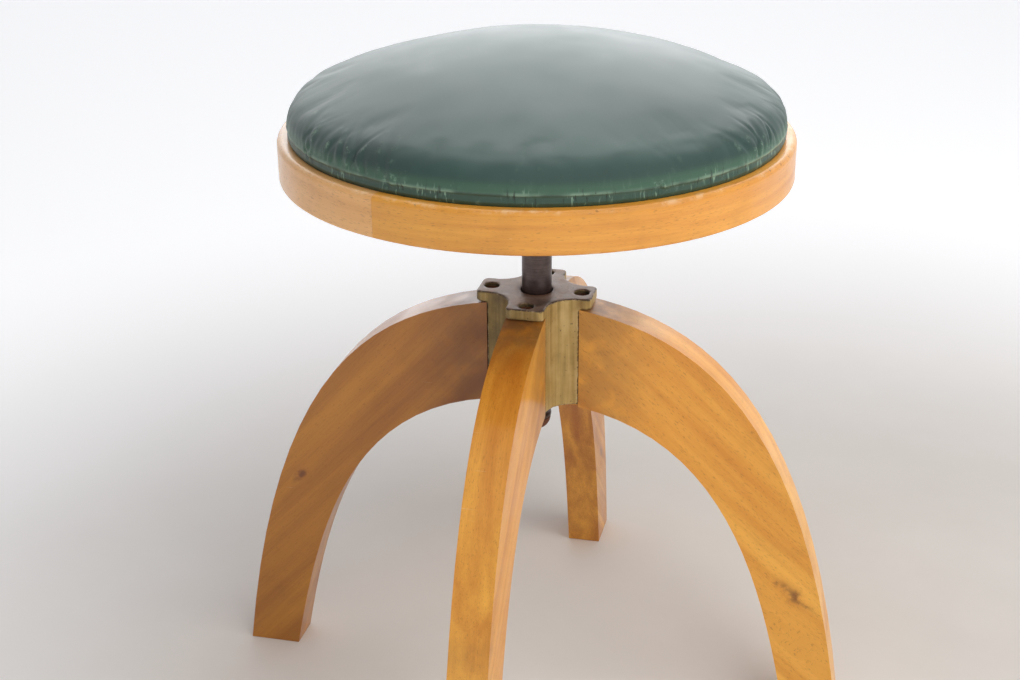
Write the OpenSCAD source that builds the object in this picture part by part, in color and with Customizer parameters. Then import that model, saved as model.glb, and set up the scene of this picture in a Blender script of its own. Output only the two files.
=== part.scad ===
// Adjustable swivel stool: a round upholstered seat on a screw spindle,
// carried by a four-eared cast hub and four bent wooden legs.
// Millimetres, +Z up. The origin is on the floor, on the spindle's axis.
// The legs point along +X, +Y, -X and -Y.

/* [Seat] */
// Outside diameter of the wooden ring round the seat
seat_d = 360; // [340:5:400]
// Height of the ring
ring_h = 28.4; // [27:0.2:36]
// Width of the ring's top face, outside the cushion
ring_wall = 9.5; // [8:0.5:12]
// Height of the cushion's crown above the ring
crown_h = 63; // [50:1:75]
// Radius of the cushion's rounded shoulder
shoulder_r = 20.5; // [18:0.5:23]
// Thickness of the leather cover
cover_t = 1.2; // [1:0.1:2]

/* [Stand] */
// Height of the ring's underside above the floor
ring_low = 419; // [415:1:440]
// Distance from the axis to the outside of a foot
foot_out = 238.5; // [220:0.5:260]
// Depth of a foot, along its leg's direction
foot_deep = 40.5; // [34:0.5:46]
// Width of the boards the legs are cut from
leg_w = 28; // [26:0.5:32]

/* [Hub] */
// Height of the hub's top face above the floor
hub_top = 326; // [310:1:335]
// Height of the whole hub casting
hub_h = 84; // [78:1:90]
// Distance from the axis to the tip of an ear
ear_out = 42.5; // [41:0.5:48]
// Thickness of the ears
ear_t = 8; // [7:0.5:11]
// Diameter of the spindle
spindle_d = 21.8; // [20:0.1:22.4]

/* [Hidden] */
$fn = 72;
// Clearances: between fixed pieces, and of the spindle in its bore
gap = 0.1;
run = 0.05;
over = 1;

// Hub, seen from above: a cross with a hollow in each corner
hub_low = hub_top - hub_h;
block_r = 34;
hollow_r = block_r - leg_w / 2;
tongue_w = leg_w - 6;
pocket_in = spindle_d / 2 + 6;
ear_corner = 4;
counterbore_r = spindle_d / 2 + 0.7;
counterbore_deep = 13;

// Leg screws, down through the ears
leg_screw_at = 33.5;
leg_screw_head = 5.4;
leg_screw_shank = 2.6;
leg_screw_long = 44;
leg_screw_sink = 2.6;

// Leg outlines, seen from the side: outer and inner edges are Bezier curves
leg_high = hub_top - ear_t - 0.2;
leg_low = hub_low - 1.5;
leg_in = block_r + 0.2;
tongue_in = pocket_in + 0.2;
foot_in = foot_out - foot_deep;
outer_edge = [
    [leg_in, leg_high],
    [0.495 * foot_out, 0.960 * leg_high],
    [0.851 * foot_out, 0.807 * leg_high],
    [foot_out, 0]
];
inner_edge = [
    [foot_in, 0],
    [0.883 * foot_in, 0.492 * leg_low],
    [0.714 * foot_in, 0.929 * leg_low],
    [leg_in, leg_low]
];
edge_steps = 20;

// Spindle and the round plug that closes its lower end
spindle_r = spindle_d / 2;
spindle_low = hub_low - 18;
plug_r = spindle_r - 0.5;
plug_h = 10.5;
stem_r = 4;
stem_long = 12;

// Ring: a wall, and a ledge inside it that the seat board sits on
ring_r = seat_d / 2;
ring_in = ring_r - ring_wall;
ring_top = ring_low + ring_h;
ledge_h = 6;
ledge_in = ring_r - 22;
ring_round = 4;
joint_angle = 68;
joint_gap = 0.1;

// Seat board, flange and their screws
board_low = ring_low + ledge_h + gap;
board_t = 12;
board_top = board_low + board_t;
board_r = ring_in - 0.4;
flange_t = 5.3;
flange_low = board_low - gap - flange_t;
flange_r = 62;
boss_r = 19;
boss_h = 27;
boss_low = flange_low - boss_h;
spindle_high = board_low - 2 * gap;
pin_r = 2.5;
pin_z = boss_low + 12;
flange_screws_n = 4;
flange_screw_at = 48;
ring_screws_n = 6;
ring_screw_at = ring_r - 15;
ring_screw_turn = 35;
small_head = 3.5;
small_shank = 1.8;
flange_screw_long = 14;
ring_screw_long = 15;

// Drop-in pad: cover turned under a thin board, held by tacks
pad_r = ring_in - 0.7;
bulge_r = pad_r + 2;
pad_low = board_top + 0.9;
pad_board_low = pad_low + cover_t + gap;
pad_board_r = pad_r - cover_t - 0.3;
pad_board_t = 8;
pad_board_top = pad_board_low + pad_board_t;
turn_in = pad_r - 22;
tacks_n = 16;
tack_at = pad_r - 13;
tack_head_r = 3.2;
tack_head_t = 0.7;
tack_shank_r = 0.8;
tack_long = 6;
pad_screws_n = 4;
pad_screw_at = 110;
pad_screw_long = 19;

// Cushion section: a shallow dome that meets a round shoulder smoothly
shoulder_at = bulge_r - shoulder_r;
shoulder_z = ring_top + 8;
crown_z = ring_top + crown_h;
rise = crown_z - shoulder_z;
dome_r = (shoulder_at * shoulder_at + rise * rise - shoulder_r * shoulder_r) / (2 * (rise - shoulder_r));
dome_z = crown_z - dome_r;
dome_angle = asin(shoulder_at / (dome_r - shoulder_r));

beech = [0.80, 0.52, 0.24];
pale_beech = [0.83, 0.60, 0.36];
plywood = [0.72, 0.56, 0.36];
gilt_iron = [0.50, 0.43, 0.24];
dark_steel = [0.25, 0.22, 0.21];
rusty_steel = [0.34, 0.22, 0.16];
bright_steel = [0.55, 0.54, 0.52];
green_leather = [0.09, 0.23, 0.18];
wadding = [0.80, 0.76, 0.66];

// Point at share t along a cubic Bezier curve
function curve_point(p, t) =
    pow(1 - t, 3) * p[0]
    + 3 * t * pow(1 - t, 2) * p[1]
    + 3 * t * t * (1 - t) * p[2]
    + pow(t, 3) * p[3];
function curve(p) = [for (i = [0 : edge_steps]) curve_point(p, i / edge_steps)];

// Repeats its children evenly on a circle round the axis
module around(count, radius, start) {
    for (i = [0 : count - 1])
        rotate([0, 0, start + 360 * i / count])
            translate([radius, 0, 0])
                children();
}

// Countersunk wood screw: its head's face is at z = 0 and it points down
module wood_screw(head, shank, long) {
    slot_w = head * 0.25;
    slot_deep = head * 0.2;
    difference() {
        rotate_extrude()
            polygon([[0, 0], [head, 0], [shank, shank - head], [shank, 2 * shank - long], [0, -long]]);
        translate([-head - over, -slot_w / 2, -slot_deep])
            cube([2 * (head + over), slot_w, slot_deep + over]);
    }
}

// The hole for that screw: sink is how deep its head lies below the face at z = 0
module screw_hole(head, shank, long, sink) {
    r = head + gap;
    s = shank + gap;
    rotate_extrude()
        polygon([[0, over], [r, over], [r, -sink], [s, -sink - head + shank], [s, -sink - long - gap], [0, -sink - long - gap]]);
}

// Plan of the hub: ears along both axes, hollows between them
module hub_plan(reach) {
    difference() {
        square(2 * block_r, center = true);
        for (a = [0 : 90 : 270])
            rotate(a)
                translate([block_r, block_r])
                    circle(hollow_r);
    }
    if (reach > block_r)
        for (a = [0 : 90 : 270])
            rotate(a) {
                translate([0, -leg_w / 2])
                    square([reach - ear_corner, leg_w]);
                translate([0, ear_corner - leg_w / 2])
                    square([reach, leg_w - 2 * ear_corner]);
                for (side = [-1, 1])
                    translate([reach - ear_corner, side * (leg_w / 2 - ear_corner)])
                        circle(ear_corner);
            }
}

module hub() {
    color(gilt_iron)
        difference() {
            union() {
                translate([0, 0, hub_top - ear_t])
                    linear_extrude(ear_t)
                        hub_plan(ear_out);
                translate([0, 0, hub_low])
                    linear_extrude(hub_h - ear_t + gap)
                        hub_plan(block_r);
            }
            translate([0, 0, hub_low - over])
                cylinder(h = hub_h + 2 * over, r = spindle_r + run);
            translate([0, 0, hub_top - counterbore_deep])
                cylinder(h = counterbore_deep + over, r = counterbore_r);
            for (a = [0 : 90 : 270])
                rotate([0, 0, a])
                    translate([pocket_in, -tongue_w / 2 - gap, hub_low - over])
                        cube([block_r, tongue_w + 2 * gap, hub_h - ear_t + over]);
            around(4, leg_screw_at, 0)
                translate([0, 0, hub_top])
                    screw_hole(leg_screw_head, leg_screw_shank, leg_screw_long, leg_screw_sink);
        }
}

// Leg that points along +X: a bent board with a tongue that fills the hub's pocket
module leg() {
    color(beech)
        difference() {
            union() {
                rotate([90, 0, 0])
                    linear_extrude(leg_w, center = true)
                        polygon(concat(curve(outer_edge), curve(inner_edge)));
                translate([tongue_in, -tongue_w / 2, leg_low])
                    cube([leg_in - tongue_in + over, tongue_w, leg_high - leg_low]);
            }
            translate([leg_screw_at, 0, hub_top])
                screw_hole(leg_screw_head, leg_screw_shank, leg_screw_long, leg_screw_sink);
        }
}

module leg_screws() {
    color(rusty_steel)
        around(4, leg_screw_at, 0)
            translate([0, 0, hub_top - leg_screw_sink - gap])
                wood_screw(leg_screw_head, leg_screw_shank, leg_screw_long);
}

module spindle() {
    color(dark_steel)
        difference() {
            translate([0, 0, spindle_low])
                cylinder(h = spindle_high - spindle_low, r = spindle_r);
            translate([0, 0, spindle_low - over])
                cylinder(h = stem_long + over + gap, r = stem_r);
            flange_pin_hole();
        }
}

// Rounded plug whose stem turns in the end of the spindle
module spindle_plug() {
    color(rusty_steel)
        rotate_extrude() {
            translate([0, spindle_low - 2 * gap])
                square([stem_r - run, stem_long + 2 * gap]);
            intersection() {
                translate([0, spindle_low - gap - plug_h])
                    square([plug_r, plug_h]);
                translate([0, spindle_low - gap - plug_h + plug_r])
                    circle(plug_r);
            }
        }
}

module flange_pin_hole() {
    translate([-boss_r - over, 0, pin_z])
        rotate([0, 90, 0])
            cylinder(h = 2 * (boss_r + over), r = pin_r + gap);
}

module seat_flange() {
    color(dark_steel)
        difference() {
            union() {
                translate([0, 0, flange_low])
                    cylinder(h = flange_t, r = flange_r);
                translate([0, 0, boss_low])
                    cylinder(h = boss_h + gap, r = boss_r);
            }
            translate([0, 0, boss_low - over])
                cylinder(h = boss_h + flange_t + 2 * over, r = spindle_r + gap);
            flange_pin_hole();
            around(flange_screws_n, flange_screw_at, 45)
                translate([0, 0, flange_low])
                    mirror([0, 0, 1])
                        screw_hole(small_head, small_shank, flange_screw_long, gap);
        }
}

module flange_pin() {
    color(bright_steel)
        translate([-boss_r - over, 0, pin_z])
            rotate([0, 90, 0])
                cylinder(h = 2 * (boss_r + over), r = pin_r);
}

module flange_screws() {
    color(bright_steel)
        around(flange_screws_n, flange_screw_at, 45)
            translate([0, 0, flange_low + 2 * gap])
                mirror([0, 0, 1])
                    wood_screw(small_head, small_shank, flange_screw_long);
}

module seat_board() {
    color(plywood)
        difference() {
            translate([0, 0, board_low])
                cylinder(h = board_t, r = board_r);
            around(flange_screws_n, flange_screw_at, 45)
                translate([0, 0, flange_low])
                    mirror([0, 0, 1])
                        screw_hole(small_head, small_shank, flange_screw_long, gap);
            around(ring_screws_n, ring_screw_at, ring_screw_turn)
                translate([0, 0, ring_low])
                    mirror([0, 0, 1])
                        screw_hole(small_head, small_shank, ring_screw_long, gap);
            around(pad_screws_n, pad_screw_at, 0)
                translate([0, 0, board_low])
                    mirror([0, 0, 1])
                        screw_hole(small_head, small_shank, pad_screw_long, gap);
        }
}

// Half of the ring: it starts at the given angle and goes round to the other joint
module ring_half(start) {
    joint_turn = asin(joint_gap / ring_in);
    difference() {
        rotate([0, 0, start + joint_turn])
            rotate_extrude(angle = 180 - 2 * joint_turn) {
                translate([ring_in, ring_low])
                    square([ring_wall, ring_h - ring_round]);
                translate([ring_in, ring_low])
                    square([ring_wall - ring_round, ring_h]);
                translate([ring_r - ring_round, ring_top - ring_round])
                    circle(ring_round);
                translate([ledge_in, ring_low])
                    square([ring_in - ledge_in + gap, ledge_h]);
            }
        around(ring_screws_n, ring_screw_at, ring_screw_turn)
            translate([0, 0, ring_low])
                mirror([0, 0, 1])
                    screw_hole(small_head, small_shank, ring_screw_long, gap);
    }
}

module ring_screws() {
    color(bright_steel)
        around(ring_screws_n, ring_screw_at, ring_screw_turn)
            translate([0, 0, ring_low + 2 * gap])
                mirror([0, 0, 1])
                    wood_screw(small_head, small_shank, ring_screw_long);
}

module pad_board() {
    color(plywood)
        difference() {
            translate([0, 0, pad_board_low])
                cylinder(h = pad_board_t, r = pad_board_r);
            around(pad_screws_n, pad_screw_at, 0)
                translate([0, 0, board_low])
                    mirror([0, 0, 1])
                        screw_hole(small_head, small_shank, pad_screw_long, gap);
            tack_holes();
        }
}

module pad_screws() {
    color(bright_steel)
        around(pad_screws_n, pad_screw_at, 0)
            translate([0, 0, board_low + 2 * gap])
                mirror([0, 0, 1])
                    wood_screw(small_head, small_shank, pad_screw_long);
}

// Section of the pad from its axis outwards, drawn in by inset and cut off at the given height
module pad_section(inset, low) {
    intersection() {
        union() {
            translate([0, low])
                square([pad_r - inset, ring_top - low]);
            translate([shoulder_at, shoulder_z])
                circle(shoulder_r - inset);
            intersection() {
                translate([0, dome_z])
                    circle(dome_r - inset);
                polygon([
                    [0, low],
                    [shoulder_at, low],
                    [shoulder_at, shoulder_z],
                    [shoulder_at + rise * tan(dome_angle), crown_z],
                    [0, crown_z + over]
                ]);
            }
        }
        translate([0, low])
            square([bulge_r, crown_z - low + over]);
    }
}

module stuffing() {
    color(wadding)
        rotate_extrude()
            pad_section(cover_t + 0.3, pad_board_top + 0.2);
}

module cover() {
    color(green_leather)
        difference() {
            rotate_extrude()
                difference() {
                    pad_section(0, pad_low);
                    pad_section(cover_t, pad_low + cover_t);
                    translate([0, pad_low - over])
                        square([turn_in, cover_t + 2 * over]);
                }
            tack_holes();
        }
}

module tack_holes() {
    around(tacks_n, tack_at, 11.25)
        translate([0, 0, pad_low - over])
            cylinder(h = tack_long + over + gap, r = tack_shank_r + gap, $fn = 24);
}

module cover_tacks() {
    color(dark_steel)
        around(tacks_n, tack_at, 11.25) {
            translate([0, 0, pad_low - gap - tack_head_t])
                cylinder(h = tack_head_t, r = tack_head_r, $fn = 24);
            translate([0, 0, pad_low - gap - tack_head_t])
                cylinder(h = tack_long + tack_head_t, r = tack_shank_r, $fn = 24);
        }
}

hub();
rotate([0, 0, -90]) leg();  // leg_front
leg();  // leg_right
rotate([0, 0, 90]) leg();  // leg_back
rotate([0, 0, 180]) leg();  // leg_left
leg_screws();
spindle();
spindle_plug();
seat_flange();
flange_pin();
flange_screws();
seat_board();
color(pale_beech) ring_half(joint_angle);  // ring_half_left
color(beech) ring_half(joint_angle + 180);  // ring_half_right
ring_screws();
pad_board();
pad_screws();
stuffing();
cover();
cover_tacks();
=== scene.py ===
"""Looks of the adjustable swivel stool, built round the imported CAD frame.

Metres, +Z up, origin on the floor on the spindle's axis, legs along +X, +Y, -X and -Y.
Order: mesh helpers, node helpers, wood, ring, legs, hub, spindle and hardware, cushion, floor, light, camera.
"""

import math
import random

import bmesh
import bpy
import numpy as np
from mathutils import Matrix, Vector, noise
from mathutils.bvhtree import BVHTree


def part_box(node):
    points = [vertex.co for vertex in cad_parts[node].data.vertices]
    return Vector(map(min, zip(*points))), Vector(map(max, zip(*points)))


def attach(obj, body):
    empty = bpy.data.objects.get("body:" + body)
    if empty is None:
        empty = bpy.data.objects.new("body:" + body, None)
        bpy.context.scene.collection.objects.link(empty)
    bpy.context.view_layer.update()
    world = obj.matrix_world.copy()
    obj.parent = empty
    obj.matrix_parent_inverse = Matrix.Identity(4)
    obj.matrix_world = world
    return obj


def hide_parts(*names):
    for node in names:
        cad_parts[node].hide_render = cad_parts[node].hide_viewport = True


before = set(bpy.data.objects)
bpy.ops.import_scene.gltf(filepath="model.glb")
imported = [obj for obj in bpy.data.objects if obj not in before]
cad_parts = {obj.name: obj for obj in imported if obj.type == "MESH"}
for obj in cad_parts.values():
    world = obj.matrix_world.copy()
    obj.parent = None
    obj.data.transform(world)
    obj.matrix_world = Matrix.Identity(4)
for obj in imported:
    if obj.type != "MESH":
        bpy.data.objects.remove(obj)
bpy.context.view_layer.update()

MM = 0.001
TURN = 2 * math.pi
UP = Vector((0, 0, 1))
scene = bpy.context.scene

# Sizes read from the frame, and the clearances and the wall that go with them in the CAD
BOARD_SIDE_GAP = 0.4 * MM
BOARD_UNDER_GAP = 0.1 * MM
LEDGE_AND_WALL = 22 * MM
PAD_GAP = 0.7 * MM
ring_low_corner, ring_high_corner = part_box("ring_half_right")
RING_R = ring_high_corner.x
RING_LOW = ring_low_corner.z
RING_TOP = ring_high_corner.z
board_low_corner, board_high_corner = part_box("seat_board")
RING_IN = board_high_corner.x + BOARD_SIDE_GAP
LEDGE_TOP = board_low_corner.z - BOARD_UNDER_GAP
LEDGE_IN = RING_R - LEDGE_AND_WALL
cover_low_corner, cover_high_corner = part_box("cover")
PAD_LOW = cover_low_corner.z
CROWN_Z = cover_high_corner.z
BULGE_R = cover_high_corner.x
PAD_R = RING_IN - PAD_GAP
HUB_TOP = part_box("hub")[1].z
spindle_low_corner, spindle_high_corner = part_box("spindle")
SPINDLE_R = spindle_high_corner.x
plug_low_corner, plug_high_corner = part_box("spindle_plug")

# The ring's first joint, as an angle from +X seen from above; the other is half a turn on
RING_JOINT = math.acos(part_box("ring_half_left")[1].x / RING_R)
JOINT_GAP = 0.12 * MM

# Points closer than this are one point that the export split
WELD_GAP = 2e-6


# ------------------------ mesh helpers


def make_object(name, data):
    """Links a mesh, light or camera as a new object."""
    made = bpy.data.objects.new(name, data)
    scene.collection.objects.link(made)
    return made


def as_mesh(bm, name):
    """Turns a bmesh into a mesh with outward faces, and frees it."""
    bmesh.ops.recalc_face_normals(bm, faces=bm.faces)
    mesh = bpy.data.meshes.new(name)
    bm.to_mesh(mesh)
    bm.free()
    return mesh


def shade(mesh, sharp_angle):
    """Smooth shading that breaks at edges sharper than the angle."""
    bm = bmesh.new()
    bm.from_mesh(mesh)
    for face in bm.faces:
        face.smooth = True
    for edge in bm.edges:
        edge.smooth = edge.calc_face_angle(0.0) < sharp_angle
    bm.to_mesh(mesh)
    bm.free()


def finish_piece(piece, body, material, replaced):
    """Gives a piece its body and material, and hides the CAD nodes it stands for."""
    piece.data.materials.clear()
    piece.data.materials.append(material)
    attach(piece, body)
    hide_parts(*replaced)


def rounded(corners, steps):
    """Closed outline from (r, z, radius) corners, with an arc at each corner."""
    outline = []
    for i, (r, z, radius) in enumerate(corners):
        here = Vector((r, z))
        before = Vector(corners[i - 1][:2]) - here
        after = Vector(corners[(i + 1) % len(corners)][:2]) - here
        before.normalize()
        after.normalize()
        half = before.angle(after) / 2
        centre = here + (before + after).normalized() * radius / math.sin(half)
        first = here + before * radius / math.tan(half) - centre
        last = here + after * radius / math.tan(half) - centre
        for k in range(steps + 1):
            outline.append(centre + first.lerp(last, k / steps).normalized() * radius)
    return outline


def even(outline, step):
    """The same closed outline, with no side longer than step."""
    fine = []
    for i, point in enumerate(outline):
        onward = outline[(i + 1) % len(outline)] - point
        count = max(1, math.ceil(onward.length / step))
        fine.extend(point + onward * k / count for k in range(count))
    return fine


def revolve(name, outline, steps, start=0.0, sweep=TURN):
    """Turns a closed (r, z) outline round the axis, with end caps where it is not a full turn."""
    full = sweep > TURN - 1e-6
    bm = bmesh.new()
    stations = []
    for i in range(steps if full else steps + 1):
        angle = start + sweep * i / steps
        across = (math.cos(angle), math.sin(angle))
        stations.append([bm.verts.new((r * across[0], r * across[1], z)) for r, z in outline])
    for i in range(steps):
        here = stations[i]
        onward = stations[(i + 1) % len(stations)]
        for k in range(len(outline)):
            n = (k + 1) % len(outline)
            bm.faces.new((here[k], onward[k], onward[n], here[n]))
    if not full:
        bm.faces.new(stations[0])
        bm.faces.new(stations[-1])
    bmesh.ops.remove_doubles(bm, verts=bm.verts, dist=1e-7)
    return as_mesh(bm, name)


def bridge(bm, stations):
    """Joins neighbouring closed rows of points with four-sided faces."""
    for here, onward in zip(stations, stations[1:]):
        for i in range(len(here)):
            n = (i + 1) % len(here)
            bm.faces.new((here[i], here[n], onward[n], onward[i]))


def read_points(mesh, what="co"):
    """The mesh's points as an array, or their directions where what is "normal"."""
    values = np.zeros(len(mesh.vertices) * 3)
    mesh.vertices.foreach_get(what, values)
    return values.reshape(-1, 3)


def write_points(mesh, points):
    """Puts an array of points back in the mesh."""
    mesh.vertices.foreach_set("co", np.asarray(points, dtype=np.float32).ravel())
    mesh.update()


def store(mesh, name, values):
    """Keeps one number per point, for a material to read."""
    kept = mesh.attributes.get(name) or mesh.attributes.new(name, "FLOAT", "POINT")
    kept.data.foreach_set("value", np.asarray(values, dtype=np.float32))


def noise_at(points, per_metre, offset=0.0):
    """Smooth noise from about -1 to 1 at each point."""
    shift = Vector((offset, offset * 0.7, offset * 1.3))
    return np.array([noise.noise(Vector(p) * per_metre + shift) for p in points])


def bell(offset, width):
    """1 in the middle, falling off smoothly to about a third at the width."""
    return np.exp(-((offset / width) ** 2))


def bulging(mesh):
    """How much each point stands out from its neighbours, positive on edges and ridges."""
    points = read_points(mesh)
    normals = read_points(mesh, "normal")
    ends = np.zeros(len(mesh.edges) * 2, dtype=np.int64)
    mesh.edges.foreach_get("vertices", ends)
    first, last = ends.reshape(-1, 2).T
    along = points[first] - points[last]
    along /= np.linalg.norm(along, axis=1)[:, None] + 1e-12
    total = np.zeros(len(points))
    count = np.zeros(len(points))
    np.add.at(total, first, np.sum(along * normals[first], axis=1))
    np.add.at(total, last, -np.sum(along * normals[last], axis=1))
    np.add.at(count, first, 1)
    np.add.at(count, last, 1)
    return total / np.maximum(count, 1)


def evaluated_copy(piece):
    """A new mesh with the piece's modifiers applied."""
    graph = bpy.context.evaluated_depsgraph_get()
    return bpy.data.meshes.new_from_object(piece.evaluated_get(graph), depsgraph=graph)


def voxel_remesh(piece, size):
    """Rebuilds the piece's surface from voxels of the size."""
    remesh = piece.modifiers.new("voxels", "REMESH")
    remesh.mode = "VOXEL"
    remesh.voxel_size = size


def welded_node(node):
    """A bmesh of a CAD node with its split points joined and its flat faces made whole."""
    bm = bmesh.new()
    bm.from_mesh(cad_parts[node].data)
    bmesh.ops.remove_doubles(bm, verts=bm.verts, dist=WELD_GAP)
    still_flat = math.radians(0.4)
    bmesh.ops.dissolve_limit(
        bm, angle_limit=still_flat, use_dissolve_boundaries=False, verts=bm.verts, edges=bm.edges
    )
    return bm


def eased_node(name, node, ease):
    """A copy of a CAD node whose sharp edges are rounded off; the rounding is marked as worn."""
    bm = welded_node(node)
    sharp = math.radians(32)
    edges = [e for e in bm.edges if len(e.link_faces) == 2 and e.calc_face_angle(0.0) > sharp]
    made = bmesh.ops.bevel(
        bm, geom=edges, offset=ease, offset_type="OFFSET", segments=4, profile=0.5, affect="EDGES",
        clamp_overlap=True
    )
    strip = set(made["faces"])
    worn = bm.verts.layers.float.new("worn")
    for vert in bm.verts:
        if vert.link_faces and all(face in strip for face in vert.link_faces):
            vert[worn] = 1.0
    mesh = as_mesh(bm, name)
    shade(mesh, sharp)
    piece = make_object(name, mesh)
    flatten = piece.modifiers.new("flat_faces", "WEIGHTED_NORMAL")
    flatten.keep_sharp = True
    flatten.weight = 100
    return piece


def ease_in_place(node, width, angle, material):
    """Rounds a CAD node's edges by modifiers, which leave its mesh as it is, and gives it a material."""
    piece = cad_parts[node]
    weld = piece.modifiers.new("weld", "WELD")
    weld.merge_threshold = WELD_GAP
    ease = piece.modifiers.new("ease", "BEVEL")
    ease.width = width
    ease.segments = 2
    ease.limit_method = "ANGLE"
    ease.angle_limit = angle
    piece.data.materials.clear()
    piece.data.materials.append(material)


# ------------------------ node helpers


def linear(red, green, blue):
    """A colour as it shows on screen, 0 to 255, as the shader wants it."""
    parts = [c / 255 for c in (red, green, blue)]
    parts = [c / 12.92 if c <= 0.04045 else ((c + 0.055) / 1.055) ** 2.4 for c in parts]
    return (*parts, 1.0)


class Nodes:
    """Short calls that add nodes to one tree."""

    def __init__(self, tree):
        self.tree = tree

    def feed(self, socket, value):
        """Links another node's output to the socket, or sets the socket's own value."""
        if isinstance(value, bpy.types.NodeSocket):
            self.tree.links.new(value, socket)
        else:
            socket.default_value = value

    def fill(self, node, values):
        """Feeds a node's sockets, named in lower case with underscores."""
        for key, value in values.items():
            self.feed(node.inputs[key.replace("_", " ").title().replace("Ior", "IOR")], value)

    def add(self, kind, **values):
        """Adds a node and feeds its sockets."""
        node = self.tree.nodes.new("ShaderNode" + kind)
        self.fill(node, values)
        return node

    def math(self, what, first, second=0.0, third=0.0):
        node = self.add("Math")
        node.operation = what
        for socket, value in zip(node.inputs, (first, second, third)):
            self.feed(socket, value)
        return node.outputs["Value"]

    def plus(self, first, second):
        return self.math("ADD", first, second)

    def times(self, first, second):
        return self.math("MULTIPLY", first, second)

    def distance(self, x, y):
        """Length of the flat vector (x, y)."""
        return self.math("SQRT", self.plus(self.times(x, x), self.times(y, y)))

    def between(self, value, low, high, first=0.0, last=1.0):
        """Goes smoothly from first to last as the value goes from low to high."""
        node = self.add("MapRange", value=value, from_min=low, from_max=high, to_min=first, to_max=last)
        node.interpolation_type = "SMOOTHSTEP"
        return node.outputs["Result"]


class Shader(Nodes):
    """One material: its surface, and the patterns that feed it."""

    def __init__(self, name):
        self.material = bpy.data.materials.new(name)
        self.material.use_nodes = True
        super().__init__(self.material.node_tree)
        self.surface = self.tree.nodes["Principled BSDF"]
        coordinates = self.add("TexCoord")
        self.place = coordinates.outputs["Object"]
        self.facing = coordinates.outputs["Normal"]

    def set(self, **values):
        """Feeds the surface's sockets."""
        self.fill(self.surface, values)

    def mapped(self, vector, turn=(0, 0, 0), scale=(1, 1, 1), shift=(0, 0, 0)):
        """The vector turned, scaled and shifted."""
        node = self.add("Mapping", vector=vector, rotation=turn, scale=scale, location=shift)
        return node.outputs["Vector"]

    def noise(self, vector, detail=2.0, rough=0.5, bend=0.0, scale=1.0):
        """Smooth noise along a vector, about 0.5 on average."""
        node = self.add("TexNoise", vector=vector, scale=scale, detail=detail, roughness=rough)
        self.fill(node, {"distortion": bend})
        return node.outputs["Fac"]

    def clouds(self, scale, detail=2.0, rough=0.5):
        """Smooth noise over the whole piece, the same in all directions."""
        return self.noise(self.place, detail, rough, scale=scale)

    def cells(self, scale):
        """Distance to the nearest of many scattered points."""
        return self.add("TexVoronoi", vector=self.place, scale=scale).outputs["Distance"]

    def ramp(self, value, stops):
        """Colours at places from 0 to 1, blended between them."""
        node = self.add("ValToRGB", fac=value)
        elements = node.color_ramp.elements
        while len(elements) < len(stops):
            elements.new(0.5)
        for element, (position, colour) in zip(elements, stops):
            element.position = position
            element.color = colour
        return node.outputs["Color"]

    def mix(self, share, first, second):
        """The first colour where the share is 0, and the second where it is 1."""
        node = self.add("Mix")
        node.data_type = "RGBA"
        for socket, value in ((0, share), (6, first), (7, second)):
            self.feed(node.inputs[socket], value)
        return node.outputs[2]

    def tint(self, colour, mask, share, paint):
        """Lays the paint over the colour by a share of the mask."""
        return self.mix(self.times(mask, share), colour, paint)

    def split(self, vector):
        return tuple(self.add("SeparateXYZ", vector=vector).outputs)

    def join(self, x, y, z):
        return self.add("CombineXYZ", x=x, y=y, z=z).outputs["Vector"]

    def kept(self, name):
        """A number stored on the mesh's points."""
        node = self.add("Attribute")
        node.attribute_name = name
        return node.outputs["Fac"]

    def bump(self, height, distance, strength=1.0, under=None):
        """A surface direction that follows the height, on top of the relief under it."""
        node = self.add("Bump", height=height, distance=distance, strength=strength)
        if under is not None:
            self.fill(node, {"normal": under})
        return node.outputs["Normal"]


# ------------------------ wood

HONEY_LIGHT = linear(242, 175, 66)
HONEY_DARK = linear(198, 120, 30)
PALE_LIGHT = linear(242, 184, 114)
PALE_DARK = linear(216, 152, 80)
PORE_BROWN = linear(138, 76, 26)
RUBBED_EDGE = linear(244, 212, 168)
NICK_BROWN = linear(70, 42, 22)
SMUDGE_BROWN = linear(120, 72, 34)
WOOD_DIRT_AND_SHADE = linear(104, 78, 62)
PALE_SCRATCH = linear(240, 214, 172)
KNOT_HALO = linear(150, 82, 30)
KNOT_CORE = linear(96, 48, 22)
KNOT_CRACK = linear(104, 54, 24)
LACQUER = 0.45
LACQUER_LOST_TO_DIRT = 0.7
RIPPLE = 1.2 * MM


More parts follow.
